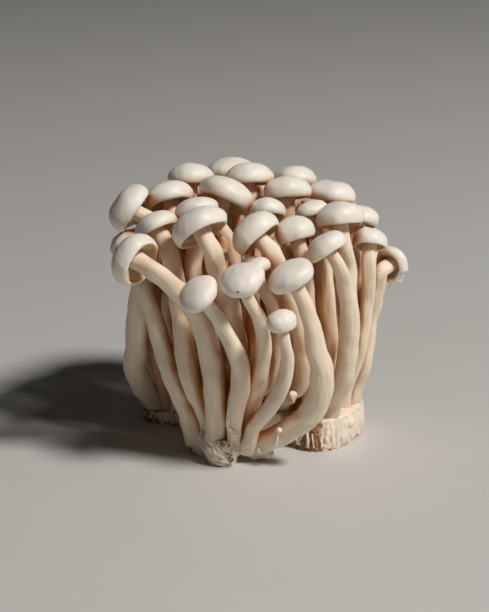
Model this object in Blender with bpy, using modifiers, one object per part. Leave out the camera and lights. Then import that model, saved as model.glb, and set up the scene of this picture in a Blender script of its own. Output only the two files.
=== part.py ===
"""A cluster of white beech mushrooms (bunapi shimeji) standing on its cut base.

Metres, +Z up. The origin is on the flat underside of the base, and -Y is the front.
Each mushroom is one solid: a turned profile of stem and cap, bent along the line that it grew on.
The base is the felted mass that the stems grow out of, trimmed flat where it was cut from its block.
"""

import math
from collections import namedtuple

import bmesh
import bpy
import numpy as np

MM = 0.001

# Driving dimensions, in millimetres.
BASE_TOP = 12.5  # the main mass of the base
FRONT_LOBE_TOP = 8.5
LEFT_LOBE_TOP = 5.0
ROOM = 0.45  # the least air between neighbours
GUIDE_OVERRUN = 6.0  # how far a guide line runs on past the top of its cap

# How finely a mushroom is made.
SIDES = 10
DOME_DEGREES = (66, 42, 19)
STEM_RINGS = 8
LINE_POINTS = 32

# How neighbours are moved apart.
ROUNDS = 420
ROUNDS_PER_SEARCH = 12
SEARCH_REACH = 5.0
PUSH = 0.45
HOME_PULL = 0.012
FRONT_EASE = (0.55, 1.0, 0.3)  # the front mushrooms move front to back rather than sideways
REST_EASE = (1.0, 1.0, 0.5)

# foot, bends and rim are points; crown is the way the cap points; cap is its radius, its height and the
# share of that height at which it is widest; stem is the radius at the neck, the belly and the foot.
Mushroom = namedtuple("Mushroom", "name foot bends rim crown cap stem")

DOME = 0.2
BUTTON = 0.42
LEVEL_FOOTED = ("front_3",)

FRONT = [
    Mushroom("front_1", (-8, -25, 9), [(-7, -31, 24), (-5, -36, 39), (-9, -41, 53)],
             (-18.4, -46, 69.6), (-0.5, -0.4, 0.76), (7.4, 6.9, DOME), (2.6, 3.6, 2.3)),
    Mushroom("front_2", (-3.5, -18.5, 9), [(-1.5, -27, 26), (2, -34, 43), (1.5, -41, 60)],
             (-4.1, -46, 74), (-0.25, -0.3, 0.92), (8.0, 7.7, DOME), (2.3, 3.5, 2.6)),
    Mushroom("front_3", (2.5, -20.5, 7),
             [(9, -26, 12.5), (19.5, -32, 22.5), (23.5, -36, 35), (21, -39, 50), (17.5, -41, 65)],
             (13.3, -42, 74), (-0.46, -0.05, 0.89), (8.5, 8.1, DOME), (2.9, 4.3, 4.0)),
    Mushroom("front_4", (-2.5, -25, 9), [(2, -32.5, 20.5), (8, -41, 33), (11, -47, 47)],
             (9.2, -50, 60), (-0.15, 0.04, 0.99), (5.3, 7.0, BUTTON), (2.1, 3.0, 2.4)),
    Mushroom("left_1", (-22, -14, 9), [(-27, -16, 23.5), (-32, -16, 37.5), (-36, -15, 52), (-41, -12.8, 66)],
             (-46.0, -7.4, 77.5), (-0.6, 0.0, 0.8), (6.3, 6.0, DOME), (2.4, 3.6, 3.2)),
    Mushroom("left_2", (-38, 23.5, 5.5), [(-45, 12, 20), (-44.5, 3, 38), (-42, -4, 58), (-37.5, -7, 80)],
             (-41.5, -8, 91), (-0.83, 0.1, 0.54), (9.4, 8.8, DOME), (3.0, 3.5, 3.0)),
    Mushroom("left_3", (-22.5, 7.5, 13), [(-29.5, -3, 32), (-31.5, -3, 52), (-30.5, -2, 74)],
             (-32.4, 0, 91.9), (-0.27, 0.45, 0.85), (9.3, 8.4, DOME), (2.9, 3.2, 2.8)),
    Mushroom("left_4", (-17.5, -15, 9), [(-24.5, -21, 33), (-26.5, -21, 52), (-29, -20, 71)],
             (-34.1, -18, 86.9), (-0.45, 0.42, 0.79), (8.0, 7.2, DOME), (3.0, 3.6, 2.9)),
    Mushroom("left_5", (-8, 3, 13), [(-4, -5, 36), (-5.5, -4, 58), (-9, -2, 77)],
             (-11.2, 0, 92.6), (0.42, 0.4, 0.82), (10.2, 9.2, DOME), (2.9, 3.2, 2.9)),
    Mushroom("left_6", (-11.5, -9, 9), [(-16, -12, 34), (-20, -13, 55), (-22.5, -14, 75)],
             (-21.2, -14, 91), (-0.2, 0.4, 0.9), (7.8, 6.6, DOME), (2.9, 3.2, 2.7)),
    Mushroom("left_7", (-8.5, -18.5, 9), [(-5.5, -21, 36), (-9, -25, 60), (-14, -30, 77)],
             (-18.5, -32, 89), (-0.47, 0.45, 0.75), (10.1, 9.3, DOME), (3.4, 3.9, 2.6)),
    Mushroom("left_8", (-14.5, -23, 9), [(-14.5, -28, 29), (-16.5, -31, 46), (-20.5, -33.5, 60), (-29, -36, 71)],
             (-39.8, -36, 79.5), (-0.76, 0.55, 0.31), (9.5, 10.2, DOME), (3.4, 4.4, 3.4)),
    Mushroom("right_1", (9.5, 0.5, 13.3), [(16, -16, 28), (17, -22, 40), (14.5, -25, 57), (9, -26, 73)],
             (1.6, -26, 85.5), (-0.65, 0.33, 0.68), (9.3, 9.5, DOME), (3.1, 3.4, 2.9)),
    Mushroom("right_2", (1, 9, 13), [(8, -4, 36), (7, -7, 62)],
             (4, -6, 89.3), (0.05, 0.45, 0.89), (6.4, 6.4, DOME), (2.6, 2.9, 2.5)),
    Mushroom("right_3", (20, -5, 13), [(21, -13, 38), (18.5, -17, 62)],
             (14.7, -20, 84), (-0.3, 0.25, 0.92), (7.2, 8.3, DOME), (2.8, 3.2, 2.8)),
    Mushroom("right_4", (17, 3, 13), [(25, -2, 38), (24.5, -2, 62)],
             (21.3, -2, 87.4), (-0.2, 0.35, 0.91), (6.2, 5.8, DOME), (2.6, 2.9, 2.6)),
    Mushroom("right_5", (25, 2.5, 13), [(33.5, -6, 38), (34, -9.5, 60), (33, -10, 75)],
             (30.3, -10, 86.9), (-0.1, 0.35, 0.93), (8.7, 8.5, DOME), (2.7, 3.0, 2.6)),
    Mushroom("right_6", (30, 10, 13), [(37, 8.5, 38), (38, 8, 60)],
             (38, 8, 83), (0.25, 0.33, 0.91), (7.2, 6.6, DOME), (2.5, 2.8, 2.5)),
    Mushroom("right_7", (27.5, -5.5, 13), [(31.5, -16, 29), (33.5, -22, 46), (33, -26.5, 62), (30, -29, 74)],
             (26, -30, 82), (-0.53, 0.2, 0.82), (7.5, 7.0, DOME), (2.5, 3.9, 3.4)),
    Mushroom("right_8", (33, 2.5, 13), [(38.5, -3, 36), (41, -5.5, 57)],
             (41.5, -6, 77.5), (0.05, 0.5, 0.86), (6.4, 7.0, DOME), (2.5, 2.8, 2.5)),
    Mushroom("right_9", (37, 8, 13), [(41, 4, 30), (42, 3.5, 45), (44.5, 0, 58)],
             (49, 0, 68.3), (0.62, 0.74, 0.15), (7.0, 5.4, DOME), (2.6, 3.5, 2.9)),
    Mushroom("right_10", (1, 1, 13), [(5, -21, 31), (7.5, -27, 46), (5.5, -31, 63)],
             (0.3, -34, 75.5), (-0.35, 0.2, 0.92), (5.4, 5.2, DOME), (2.2, 2.4, 2.2)),
    Mushroom("top_1", (-13, 18.5, 13), [(-12, 20, 50)],
             (-8.4, 30, 93.8), (-0.05, 0.2, 0.97), (9.4, 7.8, DOME), (2.8, 3.2, 2.8)),
    Mushroom("top_2", (-20.5, 16, 13), [(-22, 13, 48), (-22.5, 13, 75)],
             (-24, 14, 96), (0.0, 0.3, 0.95), (8.9, 7.6, DOME), (2.7, 3.0, 2.7)),
    Mushroom("top_3", (-5, 17, 13), [(-1, 13, 48), (0.5, 14, 75)],
             (-0.3, 16, 94.9), (-0.05, 0.3, 0.95), (8.9, 7.8, DOME), (2.7, 3.0, 2.7)),
    Mushroom("top_4", (12, 18.5, 13), [(14, 20, 50)],
             (15, 29, 92.5), (0.05, 0.2, 0.97), (7.8, 7.0, DOME), (2.7, 3.0, 2.7)),
    Mushroom("top_5", (4.5, 14.5, 13), [(11.5, 10, 50), (12, 10, 72)],
             (10.4, 12, 92.7), (-0.05, 0.3, 0.95), (8.7, 8.1, DOME), (2.7, 3.0, 2.7)),
    Mushroom("top_6", (20.5, 17.5, 13), [(26, 13, 50)],
             (26.6, 14, 88.6), (0.1, 0.25, 0.96), (9.1, 7.6, DOME), (2.7, 3.0, 2.7)),
]

BACK = [
    Mushroom("back_1", (-27, 16.5, 13), [(-38, 9, 50)],
             (-42.5, 9, 84), (-0.5, 0.1, 0.86), (7.6, 6.8, DOME), (2.5, 2.9, 2.5)),
    Mushroom("back_2", (-29.5, 23.5, 13), [(-37, 20, 50)],
             (-37, 24, 81.5), (-0.3, 0.4, 0.87), (7.8, 6.8, DOME), (2.6, 3.0, 2.6)),
    Mushroom("back_3", (-22.5, 23, 13), [(-24, 24, 50)],
             (-22, 31.5, 87.5), (-0.1, 0.3, 0.95), (7.8, 6.8, DOME), (2.6, 3.0, 2.6)),
    Mushroom("back_4", (-21.5, 30, 13), [(-24, 34, 46)],
             (-27, 44, 76), (-0.3, 0.55, 0.78), (8.0, 7.0, DOME), (2.6, 3.1, 2.6)),
    Mushroom("back_5", (-8.5, 26, 13), [(-8, 34, 50)],
             (-8.5, 45, 83.5), (0.0, 0.45, 0.9), (8.2, 7.2, DOME), (2.7, 3.1, 2.6)),
    Mushroom("back_6", (-0.5, 25, 13), [(3, 31, 50)],
             (5, 43, 83), (0.0, 0.4, 0.92), (7.4, 6.4, DOME), (2.6, 3.0, 2.6)),
    Mushroom("back_7", (16.5, 32, 13), [(20, 37, 46)],
             (22, 43, 79.5), (0.2, 0.5, 0.85), (8.0, 7.0, DOME), (2.6, 3.0, 2.6)),
    Mushroom("back_8", (24.5, 23, 13), [(28, 25, 48)],
             (30, 31, 79.5), (0.25, 0.35, 0.9), (7.2, 6.2, DOME), (2.5, 2.9, 2.5)),
    Mushroom("back_9", (31.5, 19, 13), [(37, 19, 44)],
             (39.5, 23, 74.5), (0.35, 0.4, 0.85), (6.4, 5.8, DOME), (2.4, 2.8, 2.4)),
    Mushroom("back_10", (36, 14.5, 13), [(41, 11, 42)],
             (42, 13, 66), (0.3, 0.3, 0.9), (5.6, 5.2, DOME), (2.2, 2.6, 2.3)),
    Mushroom("back_11", (-36.5, 30, 5.5), [(-45, 20, 42)],
             (-46, 24, 70), (-0.6, 0.3, 0.74), (6.6, 6.0, DOME), (2.3, 2.7, 2.4)),
    Mushroom("back_12", (-28, 30.5, 13), [(-35, 33, 42)],
             (-38, 38, 67), (-0.5, 0.5, 0.7), (7.2, 6.4, DOME), (2.4, 2.8, 2.4)),
    Mushroom("back_13", (8, 31, 13), [(11, 40, 42)],
             (13, 50, 69), (0.1, 0.65, 0.75), (7.0, 6.2, DOME), (2.4, 2.8, 2.4)),
    Mushroom("back_14", (-13.5, 31, 13), [(-15, 42, 40)],
             (-15, 52, 66), (-0.1, 0.65, 0.75), (7.0, 6.2, DOME), (2.4, 2.8, 2.4)),
    Mushroom("back_15", (24, 30, 13), [(31, 36, 42)],
             (35, 41, 66), (0.45, 0.55, 0.7), (6.8, 6.0, DOME), (2.4, 2.8, 2.4)),
    Mushroom("back_16", (36.5, 21, 13), [(42, 19, 36)],
             (43, 20, 56), (0.5, 0.2, 0.84), (5.4, 5.2, DOME), (2.1, 2.5, 2.2)),
    Mushroom("back_17", (-14, 10, 13), [(-13, 9, 50)],
             (-12.5, 15, 88.5), (0.0, 0.2, 0.97), (7.0, 6.0, DOME), (2.5, 2.8, 2.5)),
    Mushroom("back_18", (5.5, 24.5, 13), [(4, 25, 50)],
             (3, 29.5, 87.5), (0.05, 0.25, 0.96), (7.2, 6.2, DOME), (2.5, 2.8, 2.5)),
    Mushroom("back_19", (16.5, 25.5, 13), [(19.5, 25, 50)],
             (22, 28, 82), (0.1, 0.3, 0.95), (6.8, 5.8, DOME), (2.5, 2.8, 2.5)),
]

# Slender young ones that fill the middle of the cluster, under the caps of the rest.
INNER = [
    Mushroom("inner_1", (-20, -5, 9), [(-25, -10, 35), (-27, -9, 55)],
             (-27, -9, 72), (-0.1, 0.1, 1.0), (4.6, 4.4, DOME), (2.3, 3.4, 2.1)),
    Mushroom("inner_2", (-15.5, -4, 9), [(-11.5, -12.5, 38), (-13, -12, 58)],
             (-14, -12, 74), (-0.1, 0.0, 1.0), (4.6, 4.4, DOME), (2.4, 3.8, 2.2)),
    Mushroom("inner_3", (-5, -9, 9), [(0.5, -15, 38), (-0.5, -15, 58)],
             (-1, -15, 72), (0.0, 0.1, 1.0), (4.4, 4.2, DOME), (2.4, 3.9, 2.2)),
    Mushroom("inner_4", (5, -2.3, 13), [(8.5, -12, 36), (8.5, -14, 56)],
             (8, -14.5, 73), (-0.1, 0.1, 1.0), (4.2, 4.0, DOME), (2.2, 3.4, 2.0)),
    Mushroom("inner_5", (11, 6, 13), [(15, -4, 40), (15.5, -6, 58)],
             (15, -7, 76), (0.0, 0.1, 1.0), (4.4, 4.2, DOME), (2.3, 3.5, 2.1)),
    Mushroom("inner_6", (24, -3, 13), [(27, -13, 40), (27, -15, 56)],
             (27, -15, 79), (0.0, 0.1, 1.0), (3.9, 3.8, DOME), (2.0, 3.0, 1.8)),
    Mushroom("inner_7", (-13, 3.5, 13), [(-13, -2, 40), (-15, -3, 60)],
             (-17, -3, 80), (-0.1, 0.1, 1.0), (4.8, 4.4, DOME), (2.4, 3.8, 2.2)),
    Mushroom("inner_8", (-18, 4.5, 13), [(-22, 3.5, 40), (-22, 3, 60)],
             (-22, 3, 80), (0.0, 0.1, 1.0), (4.8, 4.4, DOME), (2.4, 3.6, 2.1)),
    Mushroom("inner_9", (-5, 10, 13), [(1.5, 3.5, 40), (1, 3, 60)],
             (-1, 3, 80), (0.0, 0.1, 1.0), (4.8, 4.4, DOME), (2.5, 3.8, 2.2)),
    Mushroom("inner_10", (11.5, 12, 13), [(18, 5, 40), (18, 3.5, 60)],
             (17, 2, 80), (0.0, 0.1, 1.0), (4.8, 4.4, DOME), (2.4, 3.6, 2.1)),
    Mushroom("inner_11", (18, 10.5, 13), [(18, 12, 40), (19, 12, 60)],
             (19.5, 11.5, 78), (0.0, 0.1, 1.0), (4.6, 4.2, DOME), (2.4, 3.4, 2.1)),
    Mushroom("inner_12", (25.5, 9.5, 13), [(30, 2, 40), (30, 1, 60)],
             (30.5, 1, 74), (0.0, 0.1, 1.0), (4.2, 4.0, DOME), (2.2, 3.2, 2.0)),
]

# Outlines of the base seen from above, in millimetres, each with its height.
BASE_LOBES = [
    ("main", BASE_TOP, [(14, -7.5), (23, -13), (31, -9), (38, 1), (41, 14), (37, 25), (26, 34), (8, 36),
                        (-12, 36), (-26, 35), (-33, 29), (-33, 21), (-28, 11), (-20, 1), (-6, -3)]),
    ("front", FRONT_LOBE_TOP, [(-23.5, -13), (-20.5, -20), (-17, -27), (-8, -29), (-1.5, -27), (-1, -16),
                               (0, -2), (-8, 6), (-23, 5)]),
    ("left", LEFT_LOBE_TOP, [(-43, 25), (-41.5, 19.5), (-33, 16), (-22, 14), (-22, 28), (-32, 33), (-40, 31)]),
]

FLESH = (0.86, 0.80, 0.69, 1.0)
BUTT = (0.72, 0.62, 0.49, 1.0)


def clear_scene():
    for thing in list(bpy.data.objects):
        bpy.data.objects.remove(thing, do_unlink=True)


def new_collection(name):
    collection = bpy.data.collections.new(name)
    bpy.context.scene.collection.children.link(collection)
    return collection


def new_material(name, colour, roughness):
    material = bpy.data.materials.new(name)
    material.use_nodes = True
    shader = material.node_tree.nodes["Principled BSDF"]
    shader.inputs["Base Color"].default_value = colour
    shader.inputs["Roughness"].default_value = roughness
    shader.inputs["Metallic"].default_value = 0.0
    return material


def unit(vector):
    vector = np.asarray(vector, float)
    return vector / np.linalg.norm(vector)


def centre_line(mushroom):
    """The stem's line from foot to rim, as LINE_POINTS evenly spaced points.

    It is a cubic through the foot, the bends, a neck point under the cap and the rim's middle. It stands
    upright on the base, apart from the one that grows out of its side, and enters the cap along the crown.
    """
    crown = unit(mushroom.crown)
    rim = np.array(mushroom.rim, float)
    knots = [np.array(mushroom.foot, float)]
    knots += [np.array(bend, float) for bend in mushroom.bends]
    knots += [rim - crown * mushroom.cap[0] * 0.7, rim]
    knots = np.array(knots)
    spans = np.linalg.norm(np.diff(knots, axis=0), axis=1)
    slopes = np.zeros_like(knots)
    for i in range(1, len(knots) - 1):
        before = (knots[i] - knots[i - 1]) / spans[i - 1]
        after = (knots[i + 1] - knots[i]) / spans[i]
        slopes[i] = (before * spans[i] + after * spans[i - 1]) / (spans[i] + spans[i - 1])
    leaving = unit(knots[1] - knots[0])
    slopes[0] = leaving if mushroom.name in LEVEL_FOOTED else (0, 0, 1)
    slopes[-1] = crown
    dense = []
    for i, span in enumerate(spans):
        for t in np.linspace(0, 1, 24, endpoint=i == len(spans) - 1):
            dense.append(
                (2 * t**3 - 3 * t**2 + 1) * knots[i]
                + (t**3 - 2 * t**2 + t) * span * slopes[i]
                + (3 * t**2 - 2 * t**3) * knots[i + 1]
                + (t**3 - t**2) * span * slopes[i + 1]
            )
    return evenly(np.array(dense), LINE_POINTS)


def evenly(points, count):
    """The same line with its points the same distance apart."""
    along = np.concatenate([[0], np.cumsum(np.linalg.norm(np.diff(points, axis=0), axis=1))])
    wanted = np.linspace(0, along[-1], count)
    return np.column_stack([np.interp(wanted, along, points[:, axis]) for axis in range(3)])


def stem_radius(mushroom, share):
    """The stem's radius at a share of its length from the foot: it swells to a belly a third of the way up."""
    neck, belly, foot = mushroom.stem
    return np.interp(share, (0, 0.12, 0.38, 0.62, 0.85, 1), (
        foot, (foot + belly) / 2, belly, (2 * belly + neck) / 3, neck, neck * 0.97))


def cap_balls(mushroom):
    """Balls that fill the cap, as (middle relative to the rim's middle, radius)."""
    radius, height, _ = mushroom.cap
    crown = unit(mushroom.crown)
    side = unit(np.cross(crown, (0.3, 1.0, 0.2)))
    other = np.cross(crown, side)
    balls = [(crown * 0.27 * height, 0.73 * height)]
    for count, out, up, size in ((9, 0.63, 0.24, 0.37), (6, 0.4, 0.46, 0.45)):
        for k in range(count):
            turn = 2 * math.pi * k / count
            outward = math.cos(turn) * side + math.sin(turn) * other
            balls.append((outward * out * radius + crown * up * height, size * radius))
    return balls


def close_pairs(centres, radii, owner):
    """Indices of the balls of different mushrooms that are near enough to matter."""
    gap = np.linalg.norm(centres[:, None] - centres[None], axis=2) - radii[:, None] - radii[None]
    first, second = np.nonzero((gap < SEARCH_REACH) & (owner[:, None] < owner[None]))
    return first, second


def make_room(mushrooms, lines, eases):
    """The lines after neighbours are nudged apart, so that no stem or cap presses into another.

    Each mushroom is a string of balls. Balls that come closer than ROOM push each other away, each line
    spreads its pushes smoothly over its length, and a weak pull keeps it where it was drawn.
    """
    lines = np.array(lines)
    caps = [cap_balls(m) for m in mushrooms]
    cap_count = len(caps[0])
    offsets = np.array([[ball[0] for ball in cap] for cap in caps])
    shares = np.linspace(0, 1, LINE_POINTS)
    stem_radii = np.array([stem_radius(m, shares) for m in mushrooms])
    radii = np.hstack([stem_radii, [[ball[1] for ball in cap] for cap in caps]]).ravel()
    per_mushroom = LINE_POINTS + cap_count
    owner = np.repeat(np.arange(len(mushrooms)), per_mushroom)
    eases = np.array(eases)[:, None, :]
    moved = np.zeros_like(lines)
    for turn in range(ROUNDS):
        at = lines + moved
        centres = np.concatenate([at, at[:, -1:] + offsets], axis=1).reshape(-1, 3)
        if turn % ROUNDS_PER_SEARCH == 0:
            first, second = close_pairs(centres, radii, owner)
        away = centres[first] - centres[second]
        distance = np.linalg.norm(away, axis=1) + 1e-9
        pressed = radii[first] + radii[second] + ROOM - distance
        touching = pressed > 0
        nudge = (away / distance[:, None] * (pressed * PUSH)[:, None])[touching]
        pushes = np.zeros_like(centres)
        np.add.at(pushes, first[touching], nudge)
        np.add.at(pushes, second[touching], -nudge)
        pushes = pushes.reshape(len(mushrooms), per_mushroom, 3)
        strongest = np.abs(pushes[:, LINE_POINTS:]).max(axis=1) + 1e-9
        cap_push = pushes[:, LINE_POINTS:].sum(axis=1)
        cap_push = np.clip(cap_push, -strongest, strongest)
        pushes = pushes[:, :LINE_POINTS]
        pushes[:, -1] += cap_push
        pushes[:, -2] += cap_push
        pushes[:, -3] += cap_push * 0.7
        pushes[:, 0, 2] = 0
        moved += pushes * eases
        fade = 1 - turn / ROUNDS
        moved *= 1 - HOME_PULL * fade
        for _ in range(2):
            inner = moved[:, 1:-1]
            moved[:, 1:-1] = 0.5 * inner + 0.25 * (moved[:, :-2] + moved[:, 2:])
    return lines + moved


def profile(mushroom, stem_length):
    """The outline that is turned, from the top of the cap to the middle of the foot, as (radius, height)."""
    radius, height, widest = mushroom.cap
    neck = mushroom.stem[0]
    shoulder = widest * height
    points = [(0.0, height)]
    for degrees in DOME_DEGREES:
        angle = math.radians(degrees)
        points.append((radius * math.cos(angle), shoulder + (height - shoulder) * math.sin(angle)))
    points += [
        (radius, shoulder),
        (radius * 0.93, 0.0),
        ((radius * 0.93 + neck) / 2, min(2.2, 0.3 * height)),
        (neck * 0.97, min(1.6, 0.22 * height)),
    ]
    for share in np.linspace(0.93, 0, STEM_RINGS):
        points.append((float(stem_radius(mushroom, share)), (share - 1) * stem_length * 0.995))
    points.append((0.0, -stem_length))
    return [(r, z + stem_length) for r, z in points]


def guide_curve(name, line, crown, past, guides):
    """A hidden line for the Curve modifier, run on straight through the cap so that the cap isn't bent."""
    run_on = [line[-1] + crown * past * share for share in (0.25, 0.5, 0.75, 1.0)]
    points = np.vstack([line, run_on]) * MM
    data = bpy.data.curves.new(name, "CURVE")
    data.dimensions = "3D"
    data.render_resolution_u = 0
    spline = data.splines.new("POLY")
    spline.points.add(len(points) - 1)
    for target, point in zip(spline.points, points):
        target.co = (*point, 1.0)
    guide = bpy.data.objects.new(name, data)
    guide.hide_render = True
    guide.display_type = "WIRE"
    guides.objects.link(guide)
    return guide


def build_mushroom(mushroom, line, material, parts, guides):
    length = float(np.linalg.norm(np.diff(line, axis=0), axis=1).sum())
    outline = profile(mushroom, length)
    mesh = bpy.data.meshes.new(mushroom.name)
    mesh.from_pydata(
        [(r * MM, 0.0, z * MM) for r, z in outline],
        [(i, i + 1) for i in range(len(outline) - 1)],
        [],
    )
    mesh.materials.append(material)
    body = bpy.data.objects.new("mushroom_" + mushroom.name, mesh)
    parts.objects.link(body)
    turned = body.modifiers.new("turned", "SCREW")
    turned.axis = "Z"
    turned.angle = math.tau
    turned.steps = SIDES
    turned.render_steps = SIDES
    turned.use_merge_vertices = True
    turned.merge_threshold = 0.00001
    turned.use_smooth_shade = True
    crown = unit(mushroom.crown)
    past = mushroom.cap[1] + GUIDE_OVERRUN
    guide = guide_curve("line_" + mushroom.name, line, crown, past, guides)
    bent = body.modifiers.new("bent", "CURVE")
    bent.object = guide
    bent.deform_axis = "POS_Z"
    return body


def lobe_mesh(name, height, outline):
    """One lobe of the base: its outline as a closed smooth curve, raised to its height, as a welded mesh."""
    data = bpy.data.curves.new(name, "CURVE")
    data.dimensions = "2D"
    data.fill_mode = "BOTH"
    data.extrude = height / 2 * MM
    data.resolution_u = 3
    data.render_resolution_u = 0
    spline = data.splines.new("BEZIER")
    spline.bezier_points.add(len(outline) - 1)
    for target, (x, y) in zip(spline.bezier_points, outline):
        target.co = (x * MM, y * MM, 0)
        target.handle_left_type = "AUTO"
        target.handle_right_type = "AUTO"
    spline.use_cyclic_u = True
    drawn = bpy.data.objects.new(name, data)
    bpy.context.scene.collection.objects.link(drawn)
    drawn.location = (0, 0, height / 2 * MM)
    bpy.context.view_layer.update()
    evaluated = drawn.evaluated_get(bpy.context.evaluated_depsgraph_get())
    mesh = bpy.data.meshes.new_from_object(evaluated)
    work = bmesh.new()
    work.from_mesh(mesh)
    bmesh.ops.transform(work, matrix=drawn.matrix_world, verts=work.verts)
    bmesh.ops.remove_doubles(work, verts=work.verts, dist=0.00001)
    bmesh.ops.recalc_face_normals(work, faces=work.faces)
    work.to_mesh(mesh)
    work.free()
    bpy.data.objects.remove(drawn)
    return mesh


def build_base(material, parts, guides):
    """The lobes joined into one body on one flat underside."""
    lobes = [
        bpy.data.objects.new("lobe_" + name, lobe_mesh(name, height, outline))
        for name, height, outline in BASE_LOBES
    ]
    base = lobes[0]
    base.name = "base"
    base.data.materials.clear()
    base.data.materials.append(material)
    parts.objects.link(base)
    for lobe in lobes[1:]:
        lobe.hide_render = True
        lobe.display_type = "WIRE"
        guides.objects.link(lobe)
        joined = base.modifiers.new(lobe.name, "BOOLEAN")
        joined.operation = "UNION"
        joined.solver = "EXACT"
        joined.object = lobe
    return base


def main():
    clear_scene()
    parts = new_collection("beech_mushroom_cluster")
    guides = new_collection("guides")
    flesh = new_material("mushroom_flesh", FLESH, 0.55)
    butt = new_material("base_flesh", BUTT, 0.8)
    mushrooms = FRONT + BACK + INNER
    eases = [FRONT_EASE] * len(FRONT) + [REST_EASE] * len(BACK + INNER)
    lines = make_room(mushrooms, [centre_line(m) for m in mushrooms], eases)
    for mushroom, line in zip(mushrooms, lines):
        build_mushroom(mushroom, line, flesh, parts, guides)
    build_base(butt, parts, guides)


main()
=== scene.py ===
import math
from collections import namedtuple

import bpy
import numpy as np
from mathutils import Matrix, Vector, noise
from mathutils.bvhtree import BVHTree


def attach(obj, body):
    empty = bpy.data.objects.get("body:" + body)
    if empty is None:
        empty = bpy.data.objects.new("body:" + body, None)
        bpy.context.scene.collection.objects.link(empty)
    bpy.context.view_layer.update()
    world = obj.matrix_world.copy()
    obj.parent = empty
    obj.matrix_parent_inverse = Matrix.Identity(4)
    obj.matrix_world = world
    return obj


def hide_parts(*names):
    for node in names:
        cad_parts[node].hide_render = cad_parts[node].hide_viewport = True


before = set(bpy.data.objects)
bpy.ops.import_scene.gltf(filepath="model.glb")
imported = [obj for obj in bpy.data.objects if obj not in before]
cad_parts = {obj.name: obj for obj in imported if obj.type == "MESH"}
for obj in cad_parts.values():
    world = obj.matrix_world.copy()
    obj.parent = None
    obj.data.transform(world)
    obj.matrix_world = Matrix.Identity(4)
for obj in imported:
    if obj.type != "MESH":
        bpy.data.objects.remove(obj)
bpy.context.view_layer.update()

# The looks of a white beech mushroom cluster, built around its CAD frame. The frame is in metres; lengths
# named here are in millimetres, and each function turns them into metres as it makes a mesh.
MM = 0.001
SEED = 20
TAU = 2 * math.pi

# Camera: a long lens a little above the cluster, level with its front.
AIM = (-4.0, 0.0, 53.0)
DISTANCE = 700.0
ELEVATION = 17.0
FOCAL_LENGTH = 111.2
SENSOR = 36.0

# Mushrooms.
GILLS = 40  # blades round a cap
COLUMNS = 4 * GILLS  # points round a mushroom
STEM_STEP = 1.1  # between two rows of a stem
SUNK = 2.6  # how far a stem runs on down into the base
SUNK_LOW = 5.0  # the same for the stems that grow out of the low front of it
SHALLOW_FOOT = 10.0  # a foot lower than this is one of those
BOWL = 0.30  # how far up in its cap a stem ends, as a share of the cap's height
BASE_NODE = "base"


# ---------------------------------------------------------------------------------------------------------
# Reading the frame


def rings(node):
    """A CAD mushroom's rings in millimetres, from the middle of its foot to the top of its cap.

    The two ends are single points where ten faces meet. Each ring is one edge further from the foot.
    """
    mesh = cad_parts[node].data
    places = np.array([vertex.co for vertex in mesh.vertices]) / MM
    _, first, merged = np.unique(
        np.round(places * 500).astype(np.int64), axis=0, return_index=True, return_inverse=True
    )
    merged = merged.reshape(-1)
    points = places[first]
    neighbours = [set() for _ in points]
    for face in mesh.polygons:
        corners = [merged[i] for i in face.vertices]
        for a, b in zip(corners, corners[1:] + corners[:1]):
            if a != b:
                neighbours[a].add(b)
                neighbours[b].add(a)
    ends = [i for i, near in enumerate(neighbours) if len(near) > 8]
    foot = min(ends, key=lambda i: points[i][2])
    found, layer, seen = [], {foot}, {foot}
    while layer:
        found.append(points[sorted(layer)])
        layer = {near for i in layer for near in neighbours[i]} - seen
        seen |= layer
    return found


Plan = namedtuple("Plan", "node line radii rim crown radius height neck rng")


def unit(vector):
    return vector / np.linalg.norm(vector)


def read_plan(node, number):
    """The measurements of one CAD mushroom: its stem's line and radii, and its cap's place and size."""
    found = rings(node)
    middles = [ring.mean(axis=0) for ring in found]
    spreads = [np.linalg.norm(ring - middle, axis=1).mean() for ring, middle in zip(found, middles)]
    rim, top = middles[11], middles[-1]
    crown = unit(top - rim)
    height = float(np.linalg.norm(top - rim))
    line = np.array([middles[0]] + middles[2:9] + [rim])
    radii = np.array([spreads[1]] + spreads[2:9] + [spreads[9]])
    rng = np.random.default_rng([SEED, number])
    return Plan(node, line, radii, rim, crown, spreads[12], height, spreads[9], rng)


# ---------------------------------------------------------------------------------------------------------
# Lines, frames and ripples


def smooth_through(values, at, wanted):
    """A cubic through values at the places `at`, read at the places wanted."""
    values = np.asarray(values, float)
    flat = values.ndim == 1
    if flat:
        values = values[:, None]
    spans = np.diff(at)
    rises = np.diff(values, axis=0) / spans[:, None]
    slopes = np.empty_like(values)
    weights = spans[1:, None] / (spans[1:, None] + spans[:-1, None])
    slopes[1:-1] = rises[:-1] * weights + rises[1:] * (1 - weights)
    slopes[0] = rises[0]
    slopes[-1] = rises[-1]
    i = np.clip(np.searchsorted(at, wanted, side="right") - 1, 0, len(spans) - 1)
    t = ((wanted - at[i]) / spans[i])[:, None]
    span = spans[i][:, None]
    out = (
        (2 * t**3 - 3 * t**2 + 1) * values[i]
        + (t**3 - 2 * t**2 + t) * span * slopes[i]
        + (3 * t**2 - 2 * t**3) * values[i + 1]
        + (t**3 - t**2) * span * slopes[i + 1]
    )
    return out[:, 0] if flat else out


def lengths_along(points):
    return np.concatenate([[0], np.cumsum(np.linalg.norm(np.diff(points, axis=0), axis=1))])


def carried_frames(points):
    """Two directions across a line at each of its points, carried along it without a twist."""
    ahead = np.gradient(points, axis=0)
    ahead /= np.linalg.norm(ahead, axis=1)[:, None]
    side = unit(np.cross(ahead[0], (0.31, 0.94, 0.12)))
    sides = []
    for direction in ahead:
        side = unit(side - direction * (side @ direction))
        sides.append(side)
    sides = np.array(sides)
    return sides, np.cross(ahead, sides)


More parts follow.
